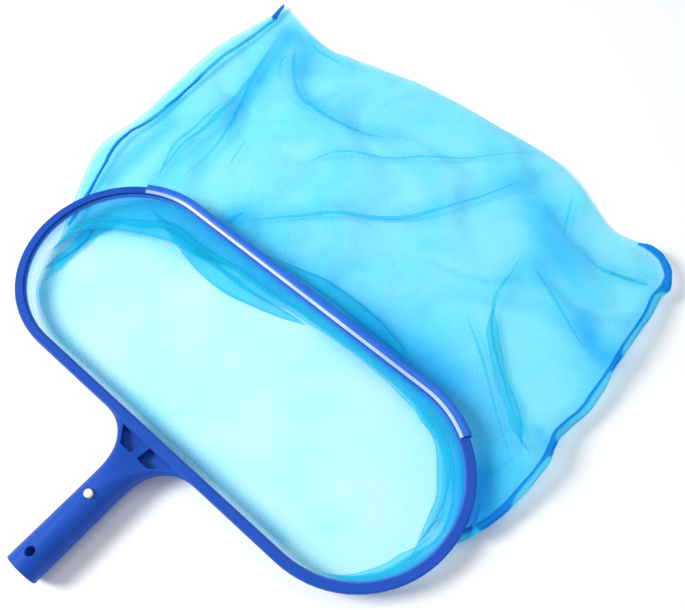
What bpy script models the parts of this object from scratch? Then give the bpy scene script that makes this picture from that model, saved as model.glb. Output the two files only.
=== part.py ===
"""Leaf skimmer net for a pool pole.

A one-piece moulded frame (rim, web and hollow handle) carries a soft front lip with a pale bead, a
retaining ring that traps the net's mouth in the rim, a mesh bag with two overlocked side seams, and a
sprung V clip with two locking buttons that click into a pole.

Units are metres and +Z is up. The origin is on the floor under the middle of the rim; the handle points
to -Y and the bag lies out beyond the front lip, to +Y. X = 0 is the frame's mirror plane.
"""
import math

import bmesh
import bpy
from mathutils import Vector

# Driving dimensions -----------------------------------------------------------------------------------

FRAME_WIDTH = 0.450
FRAME_DEPTH = 0.182
MID_HEIGHT = 0.0175
RIM_HALF_HEIGHT = 0.0035

HANDLE_RADIUS = 0.014
HANDLE_END_Y = -0.2144
HANDLE_END_CHAMFER = 0.0006
BORE_RADIUS = 0.0115
BORE_END_Y = -0.131
BUTTON_Y = -0.1462
SPARE_HOLE_Y = -0.2002
HOLE_RADIUS = 0.0036
HOLE_CHAMFER = 0.0008

WEB_FILLET_RADIUS = 0.035
WEB_BLEND_END_Y = -0.135
WEB_CORNER_POWER = 5.0
POCKET_CORNERS = ((0.0035, -0.0924), (0.0269, -0.0924), (0.0155, -0.1050), (0.0035, -0.1050))
POCKET_FLOOR = 0.0019
POCKET_CORNER_RADIUS = 0.0011
PIP_PLACE = (0.0917, -0.0890)
PIP_RADIUS = 0.0010
PIP_HEIGHT = 0.0004

LIP_OVERLAP_ANGLE = math.radians(33)
RETAINER_HEIGHT_RANGE = (0.0019, 0.0043)

BAG_THICKNESS = 0.0012
BAG_MOUTH_INSET = 0.0081
BAG_FLOOR = 0.0006
BAG_SIDE_HEIGHTS = (0.0034, 0.0090)  # left and right
BAG_FAR_HEIGHT = 0.0034
SEAM_GAP = 0.0006
SEAM_START = 0.30
SEAM_STRIP_WIDTH = 0.0024
SEAM_STRIP_HALF_HEIGHT = 0.0011
SEAM_TAIL_THINNING = 0.8

BUTTON_RADIUS = 0.0033
BUTTON_PROUD = 0.0030
BUTTON_FLANGE_RADIUS = 0.0046
BUTTON_FLANGE = (0.0079, 0.0097)
CLIP_THICKNESS = 0.0010
CLIP_HALF_WIDTH = 0.0040
CLIP_BEND_Y = -0.1850
CLIP_BEND_RADIUS = 0.0030
CLIP_PAD_HEIGHT = 0.0069

# Worked out from the above ----------------------------------------------------------------------------

END_RADIUS = FRAME_DEPTH / 2
STRAIGHT_HALF = FRAME_WIDTH / 2 - END_RADIUS
RIM_BOTTOM = MID_HEIGHT - RIM_HALF_HEIGHT
RIM_HEIGHT = 2 * RIM_HALF_HEIGHT
HALF_TURN = math.pi
QUARTER_TURN = math.pi / 2
END_STEPS = 40
TURNED_START = 0.37  # of a step, so that no turned corner meets a corner of the frame's loft

# Sections as (inset from the rim's outer face, height above the rim's bottom) --------------------------

RIM_SECTION = (
    (0.0000, 0.0030), (0.0003, 0.0018), (0.0010, 0.0009), (0.0019, 0.0003), (0.0030, 0.0000),
    (0.0066, 0.0000), (0.0072, 0.0006),
    (0.0072, 0.0016), (0.0059, 0.0016), (0.0059, 0.0046), (0.0072, 0.0046), (0.0072, 0.0067),
    (0.0069, 0.0070), (0.0010, 0.0070), (0.0003, 0.0067), (0.0000, 0.0060),
)
RETAINER_SECTION = (
    (0.0062, RETAINER_HEIGHT_RANGE[0]), (0.0084, RETAINER_HEIGHT_RANGE[0]), (0.0090, 0.0025),
    (0.0090, 0.0037), (0.0084, RETAINER_HEIGHT_RANGE[1]), (0.0062, RETAINER_HEIGHT_RANGE[1]),
)
LIP_SECTION = (
    (-0.0003, 0.0012), (-0.0003, 0.0073), (0.0048, 0.0073), (0.0048, 0.0091), (0.0034, 0.0096),
    (0.0016, 0.0097), (-0.0003, 0.0093), (-0.0017, 0.0083), (-0.0025, 0.0068), (-0.0026, 0.0022),
    (-0.0019, 0.0012),
)
BEAD_SECTION = (
    (0.0051, 0.0073), (0.0072, 0.0073), (0.0077, 0.0077), (0.0076, 0.0082), (0.0070, 0.0087),
    (0.0061, 0.0091), (0.0051, 0.0092),
)

# The bag's outline on the floor, seen from above ------------------------------------------------------

LEFT_SEAM_ROUTE = (
    (-0.2169, 0.000), (-0.2300, 0.022), (-0.2470, 0.052), (-0.2640, 0.092), (-0.2620, 0.140),
    (-0.2690, 0.200), (-0.2730, 0.255), (-0.2670, 0.305), (-0.2600, 0.348),
)
RIGHT_SEAM_ROUTE = (
    (0.2169, 0.000), (0.2290, 0.020), (0.2370, 0.052), (0.2400, 0.095), (0.2370, 0.130),
    (0.2390, 0.165), (0.2350, 0.215), (0.2320, 0.265), (0.2230, 0.323),
)
FAR_EDGE_ROUTE = (
    (-0.2600, 0.348), (-0.2200, 0.336), (-0.1700, 0.334), (-0.0860, 0.354), (0.0050, 0.362),
    (0.0720, 0.363), (0.1150, 0.352), (0.1640, 0.327), (0.2230, 0.323),
)
BAG_LEVELS = (
    # share of the way to the far edge, height of the lower layer, height of the upper layer
    (0.000, 0.0154, 0.0154), (0.000, 0.0112, 0.0112), (0.010, 0.0060, 0.0108),
    (0.028, 0.0012, 0.0106), (0.060, BAG_FLOOR, 0.0104), (0.12, BAG_FLOOR, 0.0104),
    (0.20, BAG_FLOOR, 0.0104), (0.30, BAG_FLOOR, 0.0104), (0.38, BAG_FLOOR, 0.0104),
    (0.46, BAG_FLOOR, 0.0104), (0.54, BAG_FLOOR, 0.0104), (0.62, BAG_FLOOR, 0.0102),
    (0.70, BAG_FLOOR, 0.0100), (0.78, BAG_FLOOR, 0.0096), (0.86, BAG_FLOOR, 0.0088),
    (0.93, BAG_FLOOR, 0.0076), (0.97, 0.0012, 0.0060), (1.000, BAG_FAR_HEIGHT, BAG_FAR_HEIGHT),
)
BAG_COLUMNS = 36

# Colours ----------------------------------------------------------------------------------------------

FRAME_BLUE = (0.030, 0.110, 0.560)
LIP_BLUE = (0.045, 0.150, 0.700)
BEAD_PALE = (0.640, 0.720, 0.960)
RETAINER_BLUE = (0.040, 0.150, 0.560)
NET_CYAN = (0.080, 0.620, 0.920)
SEAM_CYAN = (0.030, 0.400, 0.780)
BUTTON_WHITE = (0.880, 0.900, 0.860)
CLIP_STEEL = (0.620, 0.630, 0.640)


def clear_scene():
    for old in list(bpy.data.objects):
        bpy.data.objects.remove(old, do_unlink=True)


def make_material(name, colour, roughness, metallic=0.0):
    material = bpy.data.materials.new(name)
    material.use_nodes = True
    shader = material.node_tree.nodes["Principled BSDF"]
    shader.inputs["Base Color"].default_value = (*colour, 1.0)
    shader.inputs["Roughness"].default_value = roughness
    shader.inputs["Metallic"].default_value = metallic
    return material


def make_object(name, mesh_data, material=None, location=(0, 0, 0), parent=None):
    """Link a bmesh as a named object with smooth faces and sharp edges above 35 degrees."""
    bmesh.ops.recalc_face_normals(mesh_data, faces=mesh_data.faces)
    mesh = bpy.data.meshes.new(name)
    mesh_data.to_mesh(mesh)
    mesh_data.free()
    mesh.shade_smooth()
    mesh.set_sharp_from_angle(angle=math.radians(35))
    made = bpy.data.objects.new(name, mesh)
    made.location = location
    made.parent = parent
    if material:
        mesh.materials.append(material)
    bpy.context.scene.collection.objects.link(made)
    return made


def make_cutter(name, mesh_data):
    cutter = make_object(name, mesh_data)
    cutter.hide_render = True
    cutter.display_type = "WIRE"
    return cutter


def add_boolean(target, tool, operation):
    modifier = target.modifiers.new(tool.name, "BOOLEAN")
    modifier.operation = operation
    modifier.solver = "EXACT"
    modifier.object = tool


def bridge_loops(mesh_data, loops, closed):
    """Join matching vertex loops with quads; open runs get a cap at each end."""
    count = len(loops[0])
    pairs = list(zip(loops, loops[1:])) + ([(loops[-1], loops[0])] if closed else [])
    for one, two in pairs:
        for i in range(count):
            j = (i + 1) % count
            mesh_data.faces.new((one[i], one[j], two[j], two[i]))
    if not closed:
        mesh_data.faces.new(loops[0])
        mesh_data.faces.new(list(reversed(loops[-1])))


def prism(corners, low, high, corner_radius=0.0):
    """A flat outline extruded from z = low to z = high, with its upright edges rounded."""
    mesh_data = bmesh.new()
    loops = [[mesh_data.verts.new((x, y, z)) for x, y in corners] for z in (low, high)]
    bridge_loops(mesh_data, loops, closed=False)
    if corner_radius:
        upright = [e for e in mesh_data.edges if abs(e.verts[0].co.z - e.verts[1].co.z) > high - low - 1e-6]
        bmesh.ops.bevel(mesh_data, geom=upright, offset=corner_radius, segments=3, affect="EDGES", profile=0.5)
    return mesh_data


def turned(profile, steps, centre=(0, 0, 0), axis="Z"):
    """Turn a (radius, height) profile, whose first and last radius are 0, about an axis."""
    mesh_data = bmesh.new()
    centre = Vector(centre)

    def place(radius, height, angle):
        across, up = radius * math.cos(angle), radius * math.sin(angle)
        offset = (across, up, height) if axis == "Z" else (across, height, up)
        return mesh_data.verts.new(centre + Vector(offset))

    first = place(0, profile[0][1], 0)
    last = place(0, profile[-1][1], 0)
    angles = [2 * HALF_TURN * (i + TURNED_START) / steps for i in range(steps)]
    loops = [[place(r, h, a) for a in angles] for r, h in profile[1:-1]]
    for one, two in zip(loops, loops[1:]):
        for i in range(steps):
            j = (i + 1) % steps
            mesh_data.faces.new((one[i], one[j], two[j], two[i]))
    for i in range(steps):
        j = (i + 1) % steps
        mesh_data.faces.new((first, loops[0][j], loops[0][i]))
        mesh_data.faces.new((last, loops[-1][i], loops[-1][j]))
    return mesh_data


# Rim and what runs round it ---------------------------------------------------------------------------

def rim_station(angle):
    """Outer point and outward direction of the rim at an angle turned from +X, as seen from above."""
    side = 1 if math.cos(angle) >= 0 else -1
    outward = Vector((math.cos(angle), math.sin(angle)))
    return Vector((side * STRAIGHT_HALF, 0)) + outward * END_RADIUS, outward


def rim_angles():
    """Stations round both half-round ends; the straights are the spans between the ends."""
    step = HALF_TURN / END_STEPS
    right = [-QUARTER_TURN + step * i for i in range(END_STEPS + 1)]
    right[0] += 1e-9
    right[-1] -= 1e-9
    return right + [angle + HALF_TURN for angle in right]


def sweep_section(section, angles, closed):
    mesh_data = bmesh.new()
    loops = []
    for angle in angles:
        edge, outward = rim_station(angle)
        loops.append([
            mesh_data.verts.new((*(edge - outward * inset), RIM_BOTTOM + height)) for inset, height in section
        ])
    bridge_loops(mesh_data, loops, closed)
    return mesh_data


def front_angles():
    """Stations of the lip: part of the right end, the front straight and part of the left end."""
    steps = 10
    turn = [LIP_OVERLAP_ANGLE * i / steps for i in range(steps)]
    right = [QUARTER_TURN - LIP_OVERLAP_ANGLE + angle for angle in turn] + [QUARTER_TURN - 1e-9]
    return right + [HALF_TURN - angle for angle in reversed(right)]


# Frame ------------------------------------------------------------------------------------------------

def superellipse(half_width, half_height, power, y, count=48):
    points = []
    for i in range(count):
        angle = 2 * HALF_TURN * i / count
        c, s = math.cos(angle), math.sin(angle)
        x = math.copysign(abs(c) ** (2 / power), c) * half_width
        z = math.copysign(abs(s) ** (2 / power), s) * half_height
        points.append((x, y, MID_HEIGHT + z))
    return points


def web_section(y, half_width):
    """The web's section: a flat rounded bar at the rim that swells into the round handle."""
    span = -END_RADIUS - WEB_BLEND_END_Y
    share = min(max((-END_RADIUS - y) / span, 0.0), 1.0)
    rise = (1 - math.cos(HALF_TURN * share ** 0.75)) / 2
    half_height = RIM_HALF_HEIGHT - 0.00005 + (HANDLE_RADIUS - RIM_HALF_HEIGHT + 0.00005) * rise
    power = 2 + (WEB_CORNER_POWER - 2) * (1 - share) ** 1.5
    return superellipse(half_width, half_height, power, y)


def web_and_handle():
    """One loft from inside the rim, through the flared web, to the end of the handle."""
    side_x = HANDLE_RADIUS + WEB_FILLET_RADIUS
    arc_y = -END_RADIUS - WEB_FILLET_RADIUS
    sections = [web_section(-END_RADIUS + 0.005, side_x)]
    steps = 18
    for i in range(steps + 1):
        angle = QUARTER_TURN * (1 - i / steps)
        half_width = side_x - WEB_FILLET_RADIUS * math.cos(angle)
        sections.append(web_section(arc_y + WEB_FILLET_RADIUS * math.sin(angle), half_width))
    for y in (-0.1290, -0.1320, WEB_BLEND_END_Y, HANDLE_END_Y + HANDLE_END_CHAMFER):
        sections.append(web_section(y, HANDLE_RADIUS))
    end_radius = HANDLE_RADIUS - HANDLE_END_CHAMFER
    sections.append(superellipse(end_radius, end_radius, 2, HANDLE_END_Y))
    mesh_data = bmesh.new()
    loops = [[mesh_data.verts.new(point) for point in section] for section in sections]
    bridge_loops(mesh_data, loops, closed=False)
    return mesh_data


def handle_bore():
    """A round blind bore with a domed end and a small lead-in chamfer at the open end."""
    dome = [(BORE_RADIUS * math.cos(a), BORE_END_Y - BORE_RADIUS * (1 - math.sin(a)) * 0.35)
            for a in (0, QUARTER_TURN / 3, 2 * QUARTER_TURN / 3)]
    profile = [(0, HANDLE_END_Y - 0.002), (BORE_RADIUS + 0.0008, HANDLE_END_Y - 0.002),
               (BORE_RADIUS + 0.0008, HANDLE_END_Y), (BORE_RADIUS, HANDLE_END_Y + 0.0008)]
    return turned(profile + dome + [(0, BORE_END_Y)], 48, (0, 0, MID_HEIGHT), axis="Y")


def button_hole(y):
    """A cutter through both walls of the handle, flared where it leaves the outer surface."""
    reach = HANDLE_RADIUS + 0.002
    mouth = HANDLE_RADIUS - HOLE_CHAMFER
    flare = HOLE_RADIUS + HOLE_CHAMFER + 0.002
    profile = [(0, -reach), (flare, -reach), (HOLE_RADIUS, -mouth), (HOLE_RADIUS, mouth), (flare, reach),
               (0, reach)]
    return turned(profile, 32, (0, y, MID_HEIGHT))


def make_frame(material, parent):
    frame = make_object("frame", sweep_section(RIM_SECTION, rim_angles(), closed=True), material, parent=parent)
    add_boolean(frame, make_cutter("web_and_handle_shape", web_and_handle()), "UNION")
    for side in (-1, 1):
        pip = turned([(0, -0.001), (PIP_RADIUS, -0.001), (PIP_RADIUS, 0.0002), (PIP_RADIUS * 0.7, PIP_HEIGHT),
                      (0, PIP_HEIGHT)], 12, (side * PIP_PLACE[0], PIP_PLACE[1], RIM_BOTTOM + RIM_HEIGHT))
        add_boolean(frame, make_cutter(f"pip_shape_{side}", pip), "UNION")
    add_boolean(frame, make_cutter("bore_cutter", handle_bore()), "DIFFERENCE")
    for y in (BUTTON_Y, SPARE_HOLE_Y):
        add_boolean(frame, make_cutter(f"hole_cutter_{int(-y * 1000)}", button_hole(y)), "DIFFERENCE")
    for side in (-1, 1):
        corners = [(side * x, y) for x, y in POCKET_CORNERS]
        pocket = prism(corners, MID_HEIGHT - POCKET_FLOOR, MID_HEIGHT + 2 * HANDLE_RADIUS, POCKET_CORNER_RADIUS)
        add_boolean(frame, make_cutter(f"pocket_cutter_{side}", pocket), "DIFFERENCE")
    return frame


# Net --------------------------------------------------------------------------------------------------

def smooth_route(points, share):
    """A point at a share of the way along a smooth curve through a short list of points."""
    place = min(max(share, 0.0), 1.0) * (len(points) - 1)
    i = min(int(place), len(points) - 2)
    t = place - i
    p0, p1, p2, p3 = (Vector(points[min(max(k, 0), len(points) - 1)]) for k in (i - 1, i, i + 1, i + 2))
    return 0.5 * (2 * p1 + (p2 - p0) * t + (2 * p0 - 5 * p1 + 4 * p2 - p3) * t * t
                  + (3 * p1 - p0 - 3 * p2 + p3) * t ** 3)


def mouth_half(share, side):
    """A point of the bag's mouth from the left end to the right end, by the back or by the front."""
    radius = END_RADIUS - BAG_MOUTH_INSET
    quarter = QUARTER_TURN * radius
    run = share * (2 * quarter + 2 * STRAIGHT_HALF)
    if run <= quarter:
        angle = run / radius
        return Vector((-STRAIGHT_HALF - radius * math.cos(angle), side * radius * math.sin(angle)))
    if run >= quarter + 2 * STRAIGHT_HALF:
        angle = (run - quarter - 2 * STRAIGHT_HALF) / radius
        return Vector((STRAIGHT_HALF + radius * math.sin(angle), side * radius * math.cos(angle)))
    return Vector((-STRAIGHT_HALF + run - quarter, side * radius))


def bag_point(across, along, side):
    """Plan position on a layer: a patch between the mouth, the far fold and the two side seams."""
    corners = ((1 - across) * (1 - along) * mouth_half(0, side) + across * (1 - along) * mouth_half(1, side)
               + (1 - across) * along * Vector(FAR_EDGE_ROUTE[0]) + across * along * Vector(FAR_EDGE_ROUTE[-1]))
    ends = (1 - along) * mouth_half(across, side) + along * smooth_route(FAR_EDGE_ROUTE, across)
    sides = ((1 - across) * smooth_route(LEFT_SEAM_ROUTE, along) + across * smooth_route(RIGHT_SEAM_ROUTE, along))
    return ends + sides - corners


def side_height(low, high, right):
    """Height of a sewn side between the two layers."""
    return min(high, max(low, BAG_SIDE_HEIGHTS[right]))


def make_bag(material, parent):
    """The bag as one thin closed shell: an open mouth, a layer on the floor and a layer above it."""
    mesh_data = bmesh.new()
    loops = []
    for along, low, high in BAG_LEVELS:
        loop = []
        for side, layer_height in ((-1, low), (1, high)):
            shares = [i / BAG_COLUMNS for i in range(BAG_COLUMNS)]
            if side > 0:
                shares = [1 - share for share in shares]
            for share in shares:
                fullness = 1 - abs(2 * share - 1) ** 14
                edge_height = side_height(low, high, share > 0.5)
                height = edge_height + (layer_height - edge_height) * fullness
                loop.append((*bag_point(share, along, side), height))
        loops.append(loop)
    rings = [[mesh_data.verts.new(point) for point in loop] for loop in loops[:-1]]
    far_row = [mesh_data.verts.new(point) for point in loops[-1][:BAG_COLUMNS + 1]]
    rings.append(far_row + [far_row[2 * BAG_COLUMNS - i] for i in range(BAG_COLUMNS + 1, 2 * BAG_COLUMNS)])
    count = len(rings[0])
    for one, two in zip(rings, rings[1:]):
        for i in range(count):
            j = (i + 1) % count
            mesh_data.faces.new((one[i], one[j], two[j], two[i]))
    bag = make_object("net_bag", mesh_data, material, parent=parent)
    shell = bag.modifiers.new("thickness", "SOLIDIFY")
    shell.thickness = BAG_THICKNESS
    shell.offset = 0.0
    return bag


def make_seam(name, route, right, tail, material, parent):
    """A flat overlocked strip outside one side of the bag, ending in a short tail past the corner."""
    mesh_data = bmesh.new()
    inner = BAG_THICKNESS / 2 + SEAM_GAP
    levels = [level for level in BAG_LEVELS if level[0] >= SEAM_START]
    points = [smooth_route(route, along) for along, _, _ in levels]
    heights = [side_height(low, high, right) for _, low, high in levels]
    outward = -1 if right else 1
    loops = []
    for i, here in enumerate(points):
        heading = (points[min(i + 1, len(points) - 1)] - points[max(i - 1, 0)]).normalized()
        across = Vector((-heading.y, heading.x)) * outward
        near, far = here + across * inner, here + across * (inner + SEAM_STRIP_WIDTH)
        corners = ((near, -1), (far, -1), (far, 1), (near, 1))
        loops.append([(point, heights[i] + sign * SEAM_STRIP_HALF_HEIGHT) for point, sign in corners])
    last, ahead = loops[-1], heading
    bend = (ahead * tail[0] + across * tail[1])
    middle = heights[-1]
    loops.append([(point + bend, middle + (height - middle) * SEAM_TAIL_THINNING) for point, height in last])
    rings = [[mesh_data.verts.new((*point, height)) for point, height in loop] for loop in loops]
    bridge_loops(mesh_data, rings, closed=False)
    return make_object(name, mesh_data, material, parent=parent)


# Clip and buttons -------------------------------------------------------------------------------------

def make_button(name, direction, material, parent):
    """A flanged, dome-ended pin, built pointing up from the handle's axis and set on its press axis."""
    top = HANDLE_RADIUS + BUTTON_PROUD
    flange_low, flange_high = BUTTON_FLANGE
    profile = [(0, flange_low), (BUTTON_FLANGE_RADIUS - 0.0003, flange_low),
               (BUTTON_FLANGE_RADIUS, flange_low + 0.0003), (BUTTON_FLANGE_RADIUS, flange_high),
               (BUTTON_RADIUS, flange_high), (BUTTON_RADIUS, top - 0.0012)]
    profile += [(BUTTON_RADIUS - 0.0012 * (1 - math.cos(a)), top - 0.0012 + 0.0009 * math.sin(a))
                for a in (QUARTER_TURN / 3, 2 * QUARTER_TURN / 3, QUARTER_TURN)]
    profile += [(BUTTON_RADIUS * 0.4, top - 0.0001), (0, top)]
    mesh_data = turned([(radius, direction * height) for radius, height in profile], 28)
    return make_object(name, mesh_data, material, (0, BUTTON_Y, MID_HEIGHT), parent)


def make_clip(material, parent):
    """A strip bent into a V: a round bend near the open end and a flat pad under each button."""
    bend = [(CLIP_BEND_Y - CLIP_BEND_RADIUS * math.sin(a), CLIP_BEND_RADIUS * -math.cos(a))
            for a in (HALF_TURN * i / 10 for i in range(11))]
    lower_leg = [(-0.1405, -CLIP_PAD_HEIGHT), (-0.1525, -CLIP_PAD_HEIGHT)]
    centre_line = [Vector(p) for p in lower_leg + bend + [(y, -z) for y, z in reversed(lower_leg)]]
    sides = ([], [])
    for i, point in enumerate(centre_line):
        before = centre_line[max(i - 1, 0)]
        after = centre_line[min(i + 1, len(centre_line) - 1)]
        heading = (after - before).normalized()
        normal = Vector((-heading.y, heading.x)) * CLIP_THICKNESS / 2
        sides[0].append(point + normal)
        sides[1].append(point - normal)
    mesh_data = bmesh.new()
    loops = []
    for one, two in zip(*sides):
        corners = ((one, -1), (one, 1), (two, 1), (two, -1))
        loops.append([mesh_data.verts.new((s * CLIP_HALF_WIDTH, p.x, MID_HEIGHT + p.y)) for p, s in corners])
    bridge_loops(mesh_data, loops, closed=False)
    return make_object("clip_spring", mesh_data, material, parent=parent)


def main():
    clear_scene()
    head = bpy.data.objects.new("skimmer_head", None)
    bpy.context.scene.collection.objects.link(head)

    make_frame(make_material("frame_blue", FRAME_BLUE, 0.42), head)
    lip_blue = make_material("lip_blue", LIP_BLUE, 0.22)
    make_object("front_lip", sweep_section(LIP_SECTION, front_angles(), closed=False), lip_blue, parent=head)
    bead_pale = make_material("bead_pale", BEAD_PALE, 0.15)
    make_object("lip_bead", sweep_section(BEAD_SECTION, front_angles(), closed=False), bead_pale, parent=head)
    retainer_blue = make_material("retainer_blue", RETAINER_BLUE, 0.40)
    make_object("net_retainer", sweep_section(RETAINER_SECTION, rim_angles(), closed=True), retainer_blue,
                parent=head)

    make_bag(make_material("net_cyan", NET_CYAN, 0.80), head)
    seam_cyan = make_material("seam_cyan", SEAM_CYAN, 0.85)
    make_seam("left_side_seam", LEFT_SEAM_ROUTE, False, (0.0090, 0.0030), seam_cyan, head)
    make_seam("right_side_seam", RIGHT_SEAM_ROUTE, True, (0.0060, -0.0040), seam_cyan, head)

    make_clip(make_material("clip_steel", CLIP_STEEL, 0.30, 1.0), head)
    button_white = make_material("button_white", BUTTON_WHITE, 0.35)
    make_button("upper_button", 1, button_white, head)
    make_button("lower_button", -1, button_white, head)


main()
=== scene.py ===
import math

import bmesh
import bpy
import numpy as np
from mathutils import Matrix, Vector, noise
from mathutils.kdtree import KDTree


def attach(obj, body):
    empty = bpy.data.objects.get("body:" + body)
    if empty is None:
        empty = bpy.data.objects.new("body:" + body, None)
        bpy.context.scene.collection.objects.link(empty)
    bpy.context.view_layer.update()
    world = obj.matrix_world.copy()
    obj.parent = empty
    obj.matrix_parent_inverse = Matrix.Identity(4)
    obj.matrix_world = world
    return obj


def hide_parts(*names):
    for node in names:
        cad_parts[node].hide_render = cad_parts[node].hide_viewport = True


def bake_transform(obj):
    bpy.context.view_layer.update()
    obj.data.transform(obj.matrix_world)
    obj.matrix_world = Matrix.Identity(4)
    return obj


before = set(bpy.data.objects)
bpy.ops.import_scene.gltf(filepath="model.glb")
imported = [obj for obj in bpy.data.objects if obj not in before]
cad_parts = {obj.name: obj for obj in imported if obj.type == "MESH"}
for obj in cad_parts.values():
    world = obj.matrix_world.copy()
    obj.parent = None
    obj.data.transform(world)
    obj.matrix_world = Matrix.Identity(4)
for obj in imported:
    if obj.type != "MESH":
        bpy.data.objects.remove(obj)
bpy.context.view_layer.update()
scene = bpy.context.scene

# A leaf skimmer net lying on a floor. The CAD gives the frame, the lip and its bead, the retaining ring and
# the buttons. This script adds the mesh bag, its seams, a clip spring in two halves, the finishes, the light
# and the camera.

# The rim's plan, as in the CAD --------------------------------------------------------------------------

END_RADIUS = 0.091
STRAIGHT_HALF = 0.134
MOUTH_INSET = 0.0081
MOUTH_HEIGHT = 0.0154
UNDER_RIM = 0.0126
MOUTH_RADIUS = END_RADIUS - MOUTH_INSET

# The bag ------------------------------------------------------------------------------------------------

# The bag's outline on the floor, seen from above
LEFT_ROUTE = (
    (-0.2169, 0.000), (-0.2300, 0.022), (-0.2470, 0.052), (-0.2640, 0.092), (-0.2620, 0.140),
    (-0.2690, 0.200), (-0.2730, 0.255), (-0.2670, 0.305), (-0.2600, 0.348),
)
RIGHT_ROUTE = (
    (0.2169, 0.000), (0.2290, 0.020), (0.2370, 0.052), (0.2400, 0.095), (0.2370, 0.130),
    (0.2390, 0.165), (0.2350, 0.215), (0.2320, 0.265), (0.2240, 0.316),
)
FAR_ROUTE = (
    (-0.2600, 0.348), (-0.2200, 0.336), (-0.1700, 0.334), (-0.0860, 0.354), (0.0050, 0.362),
    (0.0720, 0.363), (0.1150, 0.352), (0.1640, 0.329), (0.2030, 0.331), (0.2240, 0.316),
)
# How far the sewn edge lies inside the outline, where the cloth rolls over it: (share along, distance)
LEFT_ROLL = (
    (0.0, 0.003), (0.2, 0.008), (0.33, 0.012), (0.45, 0.006), (0.62, 0.012), (0.8, 0.013), (1.0, 0.002),
)
RIGHT_ROLL = ((0.0, 0.003), (0.2, 0.001), (1.0, 0.001))
# How far the cloth hangs inwards from the mouth before it turns back under the rim: (share across, distance)
FRONT_TUCK = (
    (0.0, 0.016), (0.10, 0.033), (0.22, 0.034), (0.32, 0.028), (0.40, 0.024), (0.50, 0.014), (0.62, 0.007),
    (0.70, 0.009), (0.78, 0.018), (0.88, 0.014), (1.0, 0.010),
)
BACK_TUCK = (
    (0.0, 0.016), (0.06, 0.004), (0.14, 0.001), (0.80, 0.001), (0.88, 0.010), (0.94, 0.014), (1.0, 0.010),
)
TUCK_STAGES = (0, 0.26, 0.31, 0.36, 0.52, 0.57, 0.68, 0.74, 1)
TUCK_FALL = ((0.0, 1.0), (0.3, 0.42), (0.55, 0.30), (0.8, 0.14), (1.0, 0.0))
# How bunched the tuck rows are at its turns, with painted shade by the mouth where the rim shades the net:
# (share down the tuck, value)
TUCK_BUNCHING_AND_SHADE = (
    (0.0, 0.7), (0.1, 0.3), (0.24, 0.06), (0.31, 0.36), (0.38, 0.02), (0.5, 0.02), (0.57, 0.34), (0.64, 0.02),
    (0.72, 0.24), (1.0, 0.08),
)

# The cloth's grid, with its mean spacing along and across, and the coarser grid that settles
COLUMNS = 290
FRONT_ROWS = 160
BACK_ROWS = 100
TUCK_ROWS = 22
TUCK_END = 0.03
ROW_STEP = 0.0021
COLUMN_STEP = 0.0018
SETTLE_ROWS = 50
SETTLE_COLUMNS = 86
SETTLE_FRAMES = 40
SETTLE_GROWTH = -0.035
SETTLE_CAP = 0.014
SETTLE_GAIN = 1.25
SETTLE_FLOOR = 0.0026

# Seams: where each one is pulled tight, as (y, reach), and the route of its loose tail
SEAM_KNOTS = {
    "left": ((0.075, 0.045), (0.190, 0.020)),
    "right": ((0.205, 0.011), (0.110, 0.009), (0.040, 0.020)),
}
SEAM_TAILS = {
    "left": [(-0.2620, 0.3250, 0.0058), (-0.2640, 0.3360, 0.0064), (-0.2670, 0.3480, 0.0060)],
    "right": [(0.2310, 0.2980, 0.0160), (0.2250, 0.3120, 0.0165), (0.2120, 0.3220, 0.0165),
              (0.1980, 0.3260, 0.0140), (0.1890, 0.3250, 0.0110)],
}
SEAM_HALF_WIDTHS = {"left": 0.0021, "right": 0.0036}
SEAM_CROWN = 0.0011
TAIL_STATIONS = 12
TAIL_WIDENING = 1.5
STITCH_PITCH = 0.0018
STITCH_RADIUS = 0.00018
STITCH_LIFT = 0.0010

# Heights of the layers and of the bag's edges
LOWER_LAYER = 0.0010
UPPER_LAYER = 0.0068
MOUTH_EDGE = 0.0040
LEFT_SEAM = 0.0045
RIGHT_SEAM = 0.0185
FAR_EDGE = 0.0036
FAR_RIGHT_RISE = 0.0075

# The corners of a square, for the floor and for what the cloth settles on
SQUARE = ((-1, -1), (1, -1), (1, 1), (-1, 1))

# The cut cloth: half its width, and how much of its length lies in the upper and the lower layer
CLOTH_HALF_WIDTH = 0.27
UPPER_LENGTH = 0.33
LOWER_LENGTH = 0.46

# Wide folds, doubled over in the cloth itself: route, half width, fullness, lift
UPPER_FOLDS = (
    (((0.112, 0.225), (0.137, 0.176), (0.172, 0.140), (0.208, 0.112), (0.236, 0.080)), 0.0160, 1.9, 0.0030),
    (((-0.220, 0.315), (-0.200, 0.270), (-0.160, 0.250), (-0.120, 0.255)), 0.0090, 1.2, 0.0040),
    (((0.175, 0.285), (0.200, 0.290), (0.225, 0.300)), 0.0070, 1.9, 0.0030),
)
LOWER_FOLDS = (
    (((-0.180, 0.055), (-0.197, 0.005), (-0.186, -0.060)), 0.0090, 2.1, 0.0030),
    (((0.208, -0.035), (0.202, 0.000), (0.205, 0.030)), 0.0050, 1.5, 0.0018),
)
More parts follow.
